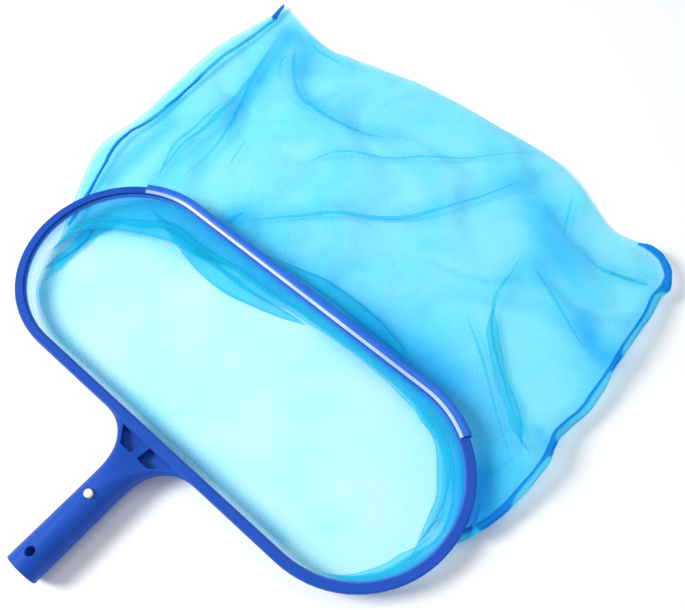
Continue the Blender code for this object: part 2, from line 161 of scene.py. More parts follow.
# Narrow pleats that lie on the upper layer: route, half width, shade beside it
PLEATS = (
    (((-0.100, 0.110), (-0.050, 0.165), (0.020, 0.225), (0.075, 0.330)), 0.0020, 0.16),
    (((-0.215, 0.310), (-0.185, 0.275), (-0.150, 0.255), (-0.110, 0.255), (-0.060, 0.275)), 0.0022, 0.20),
    (((-0.100, 0.200), (-0.090, 0.225), (-0.040, 0.260), (0.010, 0.305), (0.065, 0.360)), 0.0013, 0.08),
    (((-0.240, 0.315), (-0.220, 0.250), (-0.205, 0.190), (-0.205, 0.140), (-0.200, 0.095)), 0.0022, 0.14),
    (((-0.235, 0.310), (-0.220, 0.260), (-0.195, 0.200), (-0.175, 0.170)), 0.0009, 0.05),
    (((-0.195, 0.095), (-0.210, 0.125), (-0.215, 0.170), (-0.210, 0.210)), 0.0016, 0.08),
    (((-0.225, 0.265), (-0.205, 0.220), (-0.185, 0.175), (-0.175, 0.105)), 0.0014, 0.08),
    (((-0.165, 0.185), (-0.160, 0.165), (-0.155, 0.150)), 0.0008, 0.03),
    (((-0.205, 0.325), (-0.180, 0.315), (-0.150, 0.320)), 0.0010, 0.04),
    (((-0.105, 0.100), (-0.108, 0.108), (-0.105, 0.120)), 0.0022, 0.20),
    (((-0.060, 0.098), (0.000, 0.108), (0.060, 0.108), (0.120, 0.100)), 0.0070, 0.12),
    (((0.115, 0.260), (0.120, 0.225), (0.125, 0.195), (0.145, 0.165), (0.180, 0.135), (0.210, 0.110)),
     0.0012, 0.05),
    (((0.112, 0.170), (0.135, 0.155), (0.160, 0.135), (0.195, 0.105), (0.225, 0.080)), 0.0012, 0.05),
    (((0.130, 0.250), (0.150, 0.235), (0.180, 0.220), (0.220, 0.205)), 0.0014, 0.10),
    (((0.115, 0.335), (0.125, 0.310), (0.135, 0.285)), 0.0009, 0.05),
    (((0.155, 0.285), (0.185, 0.285), (0.215, 0.300)), 0.0016, 0.08),
    (((0.205, 0.120), (0.215, 0.105), (0.228, 0.095)), 0.0010, 0.03),
    (((0.205, 0.060), (0.215, 0.075), (0.220, 0.090)), 0.0010, 0.03),
)
# The same on the lower layer, seen through the opening
INNER_PLEATS = (
    (((-0.180, 0.068), (-0.125, 0.061), (-0.078, 0.056), (-0.035, 0.060), (0.015, 0.072)), 0.0085, 0.0),
    (((-0.115, 0.060), (-0.100, 0.064), (-0.080, 0.068)), 0.0030, 0.08),
    (((-0.205, 0.040), (-0.200, 0.015), (-0.196, -0.010), (-0.200, -0.040)), 0.0050, 0.35),
    (((0.130, 0.076), (0.168, 0.062), (0.194, 0.030), (0.203, -0.012)), 0.0050, 0.10),
)
# Where the cloth is bunched and its threads lie closer, and painted shade beside the rim and the lip laid on
# as the same closer threads: route, half width, share
BUNCHED_AND_SHADED = (
    (((-0.110, 0.100), (-0.030, 0.104), (0.060, 0.104), (0.130, 0.102)), 0.018, 0.26),
    (((0.060, 0.100), (0.140, 0.105), (0.190, 0.090), (0.225, 0.040)), 0.024, 0.40),
    (((0.080, 0.315), (0.110, 0.300), (0.150, 0.280)), 0.020, 0.26),
    (((0.110, 0.300), (0.130, 0.260), (0.120, 0.225)), 0.018, 0.16),
    (((0.150, 0.265), (0.190, 0.240), (0.220, 0.205)), 0.026, 0.18),
    (((-0.240, 0.150), (-0.237, 0.110), (-0.232, 0.060)), 0.009, 0.30),
    (((-0.235, 0.315), (-0.215, 0.255), (-0.205, 0.190)), 0.011, 0.20),
    (((-0.240, 0.325), (-0.205, 0.320), (-0.190, 0.290)), 0.012, 0.24),
    (((0.225, 0.030), (0.234, 0.080), (0.232, 0.200), (0.225, 0.290)), 0.008, 0.18),
    (((0.230, 0.207), (0.212, 0.218), (0.192, 0.232)), 0.007, 0.40),
    (((0.234, 0.112), (0.220, 0.122)), 0.005, 0.30),
    (((0.206, 0.060), (0.224, 0.028)), 0.015, 0.60),
    (((-0.185, -0.062), (-0.120, -0.080), (0.000, -0.080), (0.120, -0.080)), 0.011, 0.45),
    (((-0.205, -0.030), (-0.185, -0.060)), 0.014, 0.35),
    (((-0.200, 0.010), (-0.170, 0.040), (-0.110, 0.058)), 0.014, 0.35),
)


def lerp_table(table, shares):
    """Straight-line values from a table of (share, value) rows."""
    return np.interp(shares, [row[0] for row in table], [row[1] for row in table])


def smooth_step(values, low=0.0, high=1.0):
    """0 up to low, 1 from high on, and a smooth rise between them."""
    t = np.clip((values - low) / (high - low), 0.0, 1.0)
    return t * t * (3 - 2 * t)


def smooth_route(points, shares):
    """Points at the given shares of the way along a smooth curve through a short list of points."""
    points = np.array(points, float)
    place = np.clip(shares, 0.0, 1.0) * (len(points) - 1)
    i = np.minimum(place.astype(int), len(points) - 2)
    t = (place - i)[..., None]
    last = len(points) - 1
    p0, p1, p2, p3 = (points[np.clip(i + k, 0, last)] for k in (-1, 0, 1, 2))
    return 0.5 * (2 * p1 + (p2 - p0) * t + (2 * p0 - 5 * p1 + 4 * p2 - p3) * t * t
                  + (3 * p1 - p0 - 3 * p2 + p3) * t ** 3)


def mouth(shares, side):
    """The bag's mouth from left to right, by the back (-1) or the front (1), and the way in at each point."""
    quarter = math.pi / 2 * MOUTH_RADIUS
    run = shares * (2 * quarter + 2 * STRAIGHT_HALF)
    left = np.clip(run, 0, quarter) / MOUTH_RADIUS
    right = np.clip(run - quarter - 2 * STRAIGHT_HALF, 0, quarter) / MOUTH_RADIUS
    straight = np.clip(run - quarter, 0, 2 * STRAIGHT_HALF) - STRAIGHT_HALF
    out_x = np.where(run <= quarter, -np.cos(left), np.sin(right))
    out_y = side * np.where(run <= quarter, np.sin(left), np.cos(right))
    outward = np.stack([out_x, out_y], -1)
    centre = np.stack([straight, np.zeros_like(straight)], -1)
    return centre + outward * MOUTH_RADIUS, -outward


def noise_field(points, size, seed, depth=2):
    """Smooth noise from about -1 to 1, the same on every run, at features of the given size."""
    flat = points.reshape(-1, 2) / size
    values = [noise.fractal((x + seed, y - seed, seed * 0.37), 0.6, 2.1, depth) for x, y in flat]
    return np.array(values).reshape(points.shape[:-1])


def rim_inset(points):
    """How far inside the rim's outer face a plan point lies."""
    nearest = np.clip(points[..., 0], -STRAIGHT_HALF, STRAIGHT_HALF)
    return END_RADIUS - np.hypot(points[..., 0] - nearest, points[..., 1])


def near_route(points, route):
    """Signed distance to a route, the share of the way along it, and the route's left-hand normal."""
    line = smooth_route(route, np.linspace(0, 1, 48))
    best = np.full(points.shape[:-1], np.inf)
    signed, share = np.zeros_like(best), np.zeros_like(best)
    normal = np.zeros_like(points)
    for k, (a, b) in enumerate(zip(line, line[1:])):
        along = b - a
        length = np.hypot(*along)
        t = np.clip(((points - a) @ along) / length ** 2, 0, 1)
        gap = points - a - t[..., None] * along
        distance = np.hypot(gap[..., 0], gap[..., 1])
        closer = distance < best
        left = np.array([-along[1], along[0]]) / length
        best = np.where(closer, distance, best)
        signed = np.where(closer, np.sign(gap @ left) * distance, signed)
        share = np.where(closer, (k + t) / (len(line) - 1), share)
        normal = np.where(closer[..., None], left, normal)
    return signed, share, normal


def lay_fold(plan, height, bunching_and_shade, route, half_width, fullness, lift):
    """Push cloth together along a route until it doubles over itself."""
    signed, share, normal = near_route(plan, route)
    held = smooth_step(share, 0.0, 0.30) * smooth_step(1 - share, 0.0, 0.30)
    half_width = half_width * (0.35 + 0.65 * held)
    x = signed / half_width
    push = -fullness * half_width * x * np.exp(-x * x / 2) * held
    rise = smooth_step(x, -0.75, 0.65) * (1 - smooth_step(x, 0.8, 2.6))
    doubled = 0.30 * np.exp(-((np.abs(x) - 0.65) / 0.14) ** 2) - 0.12 * np.exp(-(x / 0.5) ** 2)
    bunching_and_shade += doubled * held
    return plan + normal * push[..., None], height + lift * rise * held, bunching_and_shade


def layer_plan(across, along, start):
    """A layer seen from above: a patch between the mouth, the two sewn sides and the far edge."""
    left = smooth_route(LEFT_ROUTE, along)
    left[:, 0] += lerp_table(LEFT_ROLL, along) * smooth_step(along, 0, 0.1)
    right = smooth_route(RIGHT_ROUTE, along)
    right[:, 0] -= lerp_table(RIGHT_ROLL, along) * smooth_step(along, 0, 0.1)
    far = smooth_route(FAR_ROUTE, across)
    u, w = (shares[..., None] for shares in np.meshgrid(across, along))
    ends = (1 - w) * start[None] + w * far[None]
    sides = (1 - u) * left[:, None] + u * right[:, None]
    corners = ((1 - u) * (1 - w) * start[0] + u * (1 - w) * start[-1]
               + (1 - u) * w * left[-1] + u * w * right[-1])
    return ends + sides - corners


def seam_height(u, w):
    """The height of the seam on the nearer side, at the same share of the way along."""
    left_height = LEFT_SEAM + 0.0012 * np.sin(w * 19)
    right_height = RIGHT_SEAM + 0.0030 * np.sin(w * 17 + 1)
    past_mouth = smooth_step(w, 0.0, 0.08)
    return np.where(u < 0.5, left_height, right_height) * past_mouth + MOUTH_EDGE * (1 - past_mouth)


def layer_noise(plan, size, seed, step):
    """Smooth noise over a layer, worked out at every few points and blurred over those between."""
    field = np.kron(noise_field(plan[::step, ::step], size, seed), np.ones((step, step)))
    field = field[:plan.shape[0], :plan.shape[1]]
    for _ in range(step):
        field = blur(field)
    return field


def lay_lower(plan, u, w, soft, fine, bunching_and_shade):
    """The lower layer lies on the floor, and rolls out past the seams at its sides."""
    edge = np.minimum(u, 1 - u)
    roll = smooth_step(edge, 0.0, 0.013) * (1 - smooth_step(edge, 0.013, 0.034))
    reach = np.where(u < 0.5, lerp_table(LEFT_ROLL, w), lerp_table(RIGHT_ROLL, w))
    reach = reach * smooth_step(w, 0, 0.1) + edge * 0.52 * (u < 0.5) * smooth_step(w, 0.04, 0.40)
    plan[..., 0] += np.where(u < 0.5, -1, 1) * roll * reach
    seam = seam_height(u, w)
    height = LOWER_LAYER + 0.0009 * (1 + soft) + 0.0003 * fine
    height = seam + (height - seam) * smooth_step(edge / np.where(u < 0.5, 0.030, 0.110))
    for fold in LOWER_FOLDS:
        plan, height, bunching_and_shade = lay_fold(plan, height, bunching_and_shade, *fold)
    return plan, height, bunching_and_shade


def lay_upper(plan, u, w, soft, fine, bunching_and_shade):
    """The upper layer lies slack over the lower one, settles and is folded."""
    seam = seam_height(u, w)
    slack = smooth_step(w, 0.02, 0.2) * (1 - smooth_step(w, 0.80, 1.0))
    height = UPPER_LAYER - 0.002 * (1 - slack) + 0.0030 * soft * slack + 0.0006 * fine
    height = seam + (height - seam) * smooth_step(np.minimum(u, 1 - u) / np.where(u < 0.5, 0.05, 0.20))
    plan, height = settle(plan, height)
    for fold in UPPER_FOLDS:
        plan, height, bunching_and_shade = lay_fold(plan, height, bunching_and_shade, *fold)
    return plan, height, bunching_and_shade


def keep_clear(side, plan, height, u, w):
    """Bring a layer's far end to the far edge, and keep it under the rim and off the floor."""
    far_height = FAR_EDGE + 0.001 * np.sin(u * 23) + FAR_RIGHT_RISE * smooth_step(u, 0.70, 1.0)
    height = far_height + (height - far_height) * smooth_step(1 - w, 0.0, 0.035)
    inset = rim_inset(plan)
    under = smooth_step(inset, -0.012, -0.004) * (1 - smooth_step(inset, 0.0095, 0.016))
    height = np.minimum(height, UNDER_RIM * under + 0.03 * (1 - under))
    return np.maximum(height, LOWER_LAYER * 0.6 if side < 0 else LOWER_LAYER + 0.0012)


def bunch_and_shade(side, plan, height, w, fine, bunching_and_shade):
    """Add where a layer is bunched, and painted shade as denser, bluer threads: in set places, beside its
    pleats, on its slopes and by the mouth.
    """
    for route, half_width, share in BUNCHED_AND_SHADED:
        bunching_and_shade += 0.5 * share * np.exp(-(near_route(plan, route)[0] / half_width) ** 2)
    if side > 0:
        for route, half_width, shade in PLEATS:
            beside = near_route(plan, route)[0] / (half_width * 5) - 0.5
            bunching_and_shade += shade * np.exp(-beside ** 2)
        # Painted shade on slopes: thread cover rises with the layer's slope, so that its wrinkles read
        # darker.
        slope = np.hypot(np.gradient(height, axis=0) / ROW_STEP, np.gradient(height, axis=1) / COLUMN_STEP)
        bunching_and_shade += np.clip(0.26 * blur(slope) - 0.02, 0, 0.13)
    # Painted shade by the mouth, where the rim shades the net: denser, bluer threads.
    bunching_and_shade += 0.12 * (1 - smooth_step(w, TUCK_END, 0.075)) * (1 + 0.6 * fine)
    return bunching_and_shade


def tuck(side, across, start, inward, row, row_height):
    """From the mouth to a layer's first row: in, part of the way back, in again and back under the rim."""
    depth = lerp_table(FRONT_TUCK if side > 0 else BACK_TUCK, across)
    depth = depth * (1 + 0.16 * waver(across, 7, 5.0 * side) + 0.07 * waver(across, 22, 2.0 * side))
    second = 0.52 + 0.22 * waver(across, 9, 11.0 + side)
    plan, height = [], []
    for t in np.arange(TUCK_ROWS) / TUCK_ROWS:
        blend = smooth_step(t)
        reach = np.array([
            np.interp(t, TUCK_STAGES, (0, 0.97, 1, 0.93, low, low - 0.05, low + 0.2, low + 0.1, 0))
            for low in second
        ])
        plan.append(start * (1 - blend) + row * blend + inward * (depth * reach)[:, None])
        height.append(row_height + (MOUTH_HEIGHT - row_height) * lerp_table(TUCK_FALL, t))
    return np.array(plan), np.array(height)


def cloth_layer(side, rows):
    """The lower (-1) or upper (1) layer from mouth to far edge: its points, and how bunched and how shaded it
    is there, the shade painted as denser, bluer threads.
    """
    across = np.linspace(0, 1, COLUMNS + 1)
    along = TUCK_END + (1 - TUCK_END) * np.linspace(0, 1, rows + 1)
    u, w = np.meshgrid(across, along)
    start, inward = mouth(across, side)
    plan = layer_plan(across, along, start)
    soft = layer_noise(plan, 0.085, 3.1 + side, 3)
    fine = layer_noise(plan, 0.030, 7.7 + side, 2)
    lay = lay_lower if side < 0 else lay_upper
    plan, height, bunching_and_shade = lay(plan, u, w, soft, fine, np.zeros_like(u))
    height = keep_clear(side, plan, height, u, w)
    bunching_and_shade = bunch_and_shade(side, plan, height, w, fine, bunching_and_shade)
    tuck_plan, tuck_height = tuck(side, across, start, inward, plan[0], height[0])
    plan = np.concatenate([tuck_plan, plan])
    height = np.concatenate([tuck_height, height])
    bunched_and_shaded = lerp_table(TUCK_BUNCHING_AND_SHADE, np.arange(TUCK_ROWS) / TUCK_ROWS)
    bunching_and_shade = np.concatenate([np.repeat(bunched_and_shaded[:, None], COLUMNS + 1, 1), bunching_and_shade])
    return np.concatenate([plan, height[..., None]], -1), bunching_and_shade


def grid_quads(index):
    """The quads of a grid of vertex numbers."""
    return np.stack([index[:-1, :-1], index[:-1, 1:], index[1:, 1:], index[1:, :-1]], -1).reshape(-1, 4)


def settle(plan, height):
    """Let the upper layer, cut a little too large, settle under its weight: a short cloth simulation."""
    rows, columns = height.shape
    row_picks = np.unique(np.linspace(0, rows - 1, SETTLE_ROWS).round().astype(int))
    column_picks = np.unique(np.linspace(0, columns - 1, SETTLE_COLUMNS).round().astype(int))
    grid = np.ix_(row_picks, column_picks)
    start = np.concatenate([plan[grid], height[grid][..., None]], -1)
    moved = simulate(start) - start
    size = np.linalg.norm(moved, axis=-1, keepdims=True)
    moved *= np.minimum(1, SETTLE_CAP / np.maximum(size, 1e-9))
    for axis in range(3):
        moved[..., axis] = SETTLE_GAIN * blur(blur(moved[..., axis]))
    grids = row_picks, column_picks, rows, columns
    along_x, along_y, up = (spread(moved[..., axis], *grids) for axis in range(3))
    return plan + np.stack([along_x, along_y], -1), height + up


def simulate(start):
    """Where a sheet through a grid of points comes to rest on a flat base, held at its border."""
    index = np.arange(start[..., 0].size).reshape(start.shape[:2])
    mesh = bpy.data.meshes.new("settling")
    mesh.from_pydata(start.reshape(-1, 3).tolist(), [], grid_quads(index).tolist())
    sheet = bpy.data.objects.new("settling", mesh)
    scene.collection.objects.link(sheet)
    held = sheet.vertex_groups.new(name="held")
    border = np.unique(np.concatenate([index[0], index[1], index[-1], index[:, 0], index[:, -1]]))
    held.add(border.tolist(), 1.0, "REPLACE")
    base_mesh = bpy.data.meshes.new("settling_base")
    base_mesh.from_pydata([(x, y, SETTLE_FLOOR) for x, y in SQUARE], [], [(0, 1, 2, 3)])
    base = bpy.data.objects.new("settling_base", base_mesh)
    scene.collection.objects.link(base)
    base.modifiers.new("solid", "COLLISION")
    base.collision.thickness_outer = 0.0008
    base.collision.cloth_friction = 12
    slacken(sheet)
    scene.frame_start, scene.frame_end = 1, SETTLE_FRAMES
    for step in range(1, SETTLE_FRAMES + 1):
        scene.frame_set(step)
    depsgraph = bpy.context.evaluated_depsgraph_get()
    settled = np.zeros(len(mesh.vertices) * 3)
    sheet.evaluated_get(depsgraph).data.vertices.foreach_get("co", settled)
    scene.frame_set(1)
    for made in (sheet, base):
        bpy.data.objects.remove(made, do_unlink=True)
    return settled.reshape(start.shape)


def slacken(sheet):
    """Make a sheet limp cloth that grows a little, so that it has slack to lay in folds."""
    cloth = sheet.modifiers.new("cloth", "CLOTH")
    cloth.settings.quality = 6
    cloth.settings.mass = 0.05
    cloth.settings.tension_stiffness = 15
    cloth.settings.compression_stiffness = 15
    cloth.settings.shear_stiffness = 4
    cloth.settings.bending_stiffness = 6
    cloth.settings.shrink_min = cloth.settings.shrink_max = SETTLE_GROWTH
    cloth.settings.vertex_group_mass = "held"
    cloth.collision_settings.distance_min = 0.001
    cloth.collision_settings.use_self_collision = False
    cloth.point_cache.frame_start, cloth.point_cache.frame_end = 1, SETTLE_FRAMES


def spread(values, row_picks, column_picks, rows, columns):
    """Smooth cubic interpolation of a coarse grid onto the full one."""
    def cubic(table, picks, count):
        at = np.interp(np.arange(count), picks, np.arange(len(picks)))
        i = np.minimum(at.astype(int), len(picks) - 2)
        t = (at - i)[:, None]
        p0, p1, p2, p3 = (table[np.clip(i + k, 0, len(picks) - 1)] for k in (-1, 0, 1, 2))
        return 0.5 * (2 * p1 + (p2 - p0) * t + (2 * p0 - 5 * p1 + 4 * p2 - p3) * t ** 2
                      + (3 * p1 - p0 - 3 * p2 + p3) * t ** 3)
    return cubic(cubic(values, row_picks, rows).T, column_picks, columns).T


def waver(shares, count, seed):
    """Smooth noise along a line, with about count waves over its length."""
    return np.array([noise.noise((share * count, seed, 1.3)) for share in shares])


def blur(field):
    """Each value mixed with its four neighbours."""
    padded = np.pad(field, 1, mode="edge")
    return (padded[:-2, 1:-1] + padded[2:, 1:-1] + padded[1:-1, :-2] + padded[1:-1, 2:] + 2 * field) / 6


# Node materials -----------------------------------------------------------------------------------------

class Nodes:
    """A small helper for building a node tree."""

    def __init__(self, name):
        self.material = bpy.data.materials.new(name)
        self.material.use_nodes = True
        self.tree = self.material.node_tree
        self.tree.nodes.clear()
        self.output = self.tree.nodes.new("ShaderNodeOutputMaterial")

    def add(self, kind, inputs=None, **settings):
        node = self.tree.nodes.new("ShaderNode" + kind)
        for key, value in settings.items():
            setattr(node, key, value)
        for key, value in (inputs or {}).items():
            if isinstance(value, bpy.types.NodeSocket):
                self.tree.links.new(value, node.inputs[key])
            else:
                node.inputs[key].default_value = value
        return node

    def surface(self, socket):
        self.tree.links.new(socket, self.output.inputs["Surface"])
        return self.material

    def ramp(self, socket, stops):
        node = self.add("ValToRGB", {"Fac": socket})
        elements = node.color_ramp.elements
        while len(elements) < len(stops):
            elements.new(0.5)
        for element, (position, colour) in zip(elements, stops):
            element.position = position
            element.color = (*colour, 1.0)
        return node.outputs["Color"]

    def map_range(self, socket, low, high, from_low=0.0, from_high=1.0):
        node = self.add("MapRange", {"Value": socket, "From Min": from_low, "From Max": from_high,
                                     "To Min": low, "To Max": high})
        return node.outputs["Result"]

    def noise(self, coordinates, scale, detail=3.0, roughness=0.5):
        node = self.add("TexNoise", {"Vector": coordinates, "Scale": scale, "Detail": detail,
                                     "Roughness": roughness})
        return node.outputs["Fac"]


def moulded_plastic(name, dark, light, roughness, bump=0.08, coat=0.0, specular=0.5):
    """Moulded plastic: two close shades that flow into each other under a fine grain."""
    nodes = Nodes(name)
    where = nodes.add("TexCoord").outputs["Object"]
    flow = nodes.noise(where, 14.0, 3.0)
    colour = nodes.ramp(flow, ((0.3, dark), (0.7, light)))
    texture = nodes.noise(where, 900.0, 2.0)
    rough = nodes.map_range(nodes.noise(where, 60.0, 4.0), roughness - 0.06, roughness + 0.08, 0.3, 0.7)
    raised = nodes.add("Bump", {"Height": texture, "Strength": bump, "Distance": 0.0002})
    shader = nodes.add("BsdfPrincipled", {
        "Base Color": colour, "Roughness": rough, "Normal": raised.outputs["Normal"],
        "Coat Weight": coat, "Coat Roughness": 0.12, "Specular IOR Level": specular,
    })
    return nodes.surface(shader.outputs["BSDF"])


def net_material():
    """Sheer mesh: what is seen between the threads, and threads that scatter and pass light."""
    nodes = Nodes("net_mesh")
    where = nodes.add("UVMap", uv_map="cloth").outputs["UV"]
    warp = nodes.add("TexWave", {"Vector": where, "Scale": 150.0, "Distortion": 0.6, "Detail": 1.0},
                     wave_type="BANDS", bands_direction="X", wave_profile="SIN").outputs["Fac"]
    weft = nodes.add("TexWave", {"Vector": where, "Scale": 150.0, "Distortion": 0.6, "Detail": 1.0},
                     wave_type="BANDS", bands_direction="Y", wave_profile="SIN").outputs["Fac"]
    weave = nodes.add("Math", {0: warp, 1: weft}, operation="MAXIMUM").outputs["Value"]
    # This attribute holds bunched cloth and painted shade: where it is high, the threads cover more and the
    # net turns deeper blue.
    bunching_and_shade = nodes.add("Attribute", attribute_name="bunching_and_shade").outputs["Fac"]
    cloud = nodes.noise(where, 16.0, 4.0, 0.55)
    thread = nodes.map_range(weave, 0.20, 0.31)
    thread = nodes.add("Math", {0: thread, 1: nodes.map_range(cloud, -0.07, 0.05, 0.3, 0.7)},
                       operation="ADD").outputs["Value"]
    cover = nodes.add("Math", {0: thread, 1: nodes.map_range(bunching_and_shade, 0.0, 0.45)}, operation="ADD",
                      use_clamp=True).outputs["Value"]
    raised = nodes.add("Bump", {"Height": weave, "Strength": 0.3, "Distance": 0.0002}).outputs["Normal"]
    # Bunched cloth and painted shade both use these: deeper blue gaps and bluer threads.
    open_gap, bunched_and_shaded_gap = (0.93, 0.99, 1.0, 1.0), (0.30, 0.68, 1.0, 1.0)
    passed = nodes.add("Mix", {0: bunching_and_shade, 6: open_gap, 7: bunched_and_shaded_gap}, data_type="RGBA").outputs[2]
    gap = nodes.add("BsdfTransparent", {"Color": passed}).outputs["BSDF"]
    open_tint = nodes.ramp(cloud, ((0.25, (0.022, 0.74, 0.94)), (0.75, (0.042, 0.87, 0.97))))
    bunched_and_shaded_tint = nodes.ramp(cloud, ((0.25, (0.012, 0.34, 0.93)), (0.75, (0.018, 0.46, 0.98))))
    tint = nodes.add("Mix", {0: bunching_and_shade, 6: open_tint, 7: bunched_and_shaded_tint}, data_type="RGBA").outputs[2]
    lit = nodes.add("BsdfDiffuse", {"Color": tint, "Normal": raised}).outputs["BSDF"]
    through = nodes.add("BsdfTranslucent", {"Color": tint, "Normal": raised}).outputs["BSDF"]
    threads = nodes.add("MixShader", {0: 0.5, 1: lit, 2: through}).outputs["Shader"]
    return nodes.surface(nodes.add("MixShader", {0: cover, 1: gap, 2: threads}).outputs["Shader"])


def seam_material():
    """Overlock stitching: close thread with gaps between the loops."""
    nodes = Nodes("seam_thread")
    where = nodes.add("UVMap", uv_map="cloth").outputs["UV"]
    loops = nodes.add("TexWave", {"Vector": where, "Scale": 170.0, "Distortion": 0.8, "Detail": 2.0},
                      wave_type="BANDS", bands_direction="Y", wave_profile="SIN").outputs["Fac"]
    across = nodes.add("SeparateXYZ", {"Vector": where}).outputs["X"]
    close = nodes.ramp(nodes.map_range(across, 0.0, 1.0, 0.0, 0.005),
                       ((0.0, (0.85, 0.85, 0.85)), (0.26, (0.75, 0.75, 0.75)), (0.42, (0.0, 0.0, 0.0)),
                        (0.80, (0.0, 0.0, 0.0)), (1.0, (0.6, 0.6, 0.6))))
    cover = nodes.add("Math", {0: nodes.map_range(loops, 0.45, 0.90), 1: close}, operation="ADD",
                      use_clamp=True).outputs["Value"]
    fuzz = nodes.noise(where, 900.0, 3.0)
    light_tint = nodes.ramp(loops, ((0.2, (0.030, 0.68, 0.96)), (0.8, (0.070, 0.86, 0.98))))
    dark_tint = (0.010, 0.20, 0.74, 1.0)
    tint = nodes.add("Mix", {0: close, 6: light_tint, 7: dark_tint}, data_type="RGBA").outputs[2]
    raised = nodes.add("Bump", {"Height": fuzz, "Strength": 0.5, "Distance": 0.0003}).outputs["Normal"]
    gap = nodes.add("BsdfTransparent", {"Color": (0.75, 0.95, 1.0, 1.0)}).outputs["BSDF"]
    lit = nodes.add("BsdfDiffuse", {"Color": tint, "Normal": raised}).outputs["BSDF"]
    through = nodes.add("BsdfTranslucent", {"Color": tint, "Normal": raised}).outputs["BSDF"]
    threads = nodes.add("MixShader", {0: 0.4, 1: lit, 2: through}).outputs["Shader"]
    return nodes.surface(nodes.add("MixShader", {0: cover, 1: gap, 2: threads}).outputs["Shader"])


def brushed_steel():
    """Spring steel with streaks along the strip."""
    nodes = Nodes("spring_steel")
    where = nodes.add("TexCoord").outputs["Object"]
    stretched = nodes.add("Mapping", {"Vector": where, "Scale": (30.0, 1.0, 30.0)}).outputs["Vector"]
    streaks = nodes.noise(stretched, 60.0, 4.0)
    raised = nodes.add("Bump", {"Height": streaks, "Strength": 0.1, "Distance": 0.0001}).outputs["Normal"]
    shader = nodes.add("BsdfPrincipled", {
        "Base Color": nodes.ramp(streaks, ((0.3, (0.52, 0.53, 0.55)), (0.7, (0.68, 0.69, 0.70)))),
        "Metallic": 1.0, "Roughness": nodes.map_range(streaks, 0.25, 0.40), "Normal": raised,
    })
    return nodes.surface(shader.outputs["BSDF"])


# Meshes -------------------------------------------------------------------------------------------------

def add_piece(name, work, material, sharp_degrees=None):
    """An object in the scene from a bmesh, shaded smooth except past the given angle."""
    mesh = bpy.data.meshes.new(name)
    work.to_mesh(mesh)
    work.free()
    mesh.shade_smooth()
    if sharp_degrees:
        mesh.set_sharp_from_angle(angle=math.radians(sharp_degrees))
    mesh.materials.append(material)
    piece = bpy.data.objects.new(name, mesh)
    scene.collection.objects.link(piece)
    return piece


def add_tube(work, rings):
    """The faces of a closed tube through rings of points."""
    for one, two in zip(rings, rings[1:]):
        for j in range(len(one)):
            after = (j + 1) % len(one)
            work.faces.new((one[j], one[after], two[after], two[j]))
    for ring in (rings[0], rings[-1]):
        work.faces.new(ring)
    bmesh.ops.recalc_face_normals(work, faces=work.faces)


# Net ----------------------------------------------------------------------------------------------------

def build_net():
    """Both layers as one cloth, folded at the far edge and sewn along its sides, with its pleats."""
    front, front_bunching_and_shade = cloth_layer(1, FRONT_ROWS)
    back, back_bunching_and_shade = cloth_layer(-1, BACK_ROWS)
    blocks = [layer_block(front, front_bunching_and_shade, 1), layer_block(back, back_bunching_and_shade, -1)]
    for laid, pleats in ((front, PLEATS), (back, INNER_PLEATS)):
        layer = laid[TUCK_ROWS:].reshape(-1, 3)
        tree = KDTree(len(layer))
        for i, (x, y, _) in enumerate(layer):
            tree.insert((x, y, 0), i)
        tree.balance()
        blocks += [pleat(layer, tree, route, half_width, shade) for route, half_width, shade in pleats]
    mesh = join_blocks("net_cloth", blocks)
    work = bmesh.new()
    work.from_mesh(mesh)
    bmesh.ops.remove_doubles(work, verts=work.verts, dist=2e-5)
    work.to_mesh(mesh)
    work.free()
    mesh.shade_smooth()
    net = bpy.data.objects.new("net_cloth", mesh)
    scene.collection.objects.link(net)
    mesh.materials.append(net_material())
    return net, front


def layer_block(points, bunching_and_shade, side):
    """A layer's points, quads, bunching with painted shade, and places on the flat cut cloth."""
    rows, columns = points.shape[:2]
    quads = grid_quads(np.arange(rows * columns).reshape(rows, columns))
    down = side * (1 - np.linspace(0, 1, rows)) * (UPPER_LENGTH if side > 0 else LOWER_LENGTH)
    sideways = np.linspace(-CLOTH_HALF_WIDTH, CLOTH_HALF_WIDTH, columns)
    flat = np.stack(np.broadcast_arrays(sideways[None], down[:, None]), -1).reshape(-1, 2)
    return points.reshape(-1, 3), quads if side > 0 else quads[:, ::-1], bunching_and_shade.reshape(-1), flat


def join_blocks(name, blocks):
    """One mesh from blocks of points, quads, bunching with painted shade, and flat places."""
    starts = np.cumsum([0] + [len(points) for points, _, _, _ in blocks])
    verts, bunching_and_shade, flat = (np.concatenate([block[part] for block in blocks]) for part in (0, 2, 3))
    faces = np.concatenate([quads + start for (_, quads, _, _), start in zip(blocks, starts)])
    mesh = bpy.data.meshes.new(name)
    mesh.from_pydata(verts.tolist(), [], faces.tolist())
    bunched_and_shaded = mesh.attributes.new("bunching_and_shade", "FLOAT", "POINT")
    bunched_and_shaded.data.foreach_set("value", np.clip(bunching_and_shade, 0, 1).astype(np.float32))
    uv = mesh.uv_layers.new(name="cloth")
    loop_verts = np.zeros(len(mesh.loops), np.int32)
    mesh.loops.foreach_get("vertex_index", loop_verts)
    uv.data.foreach_set("uv", flat[loop_verts].astype(np.float32).ravel())
    return mesh


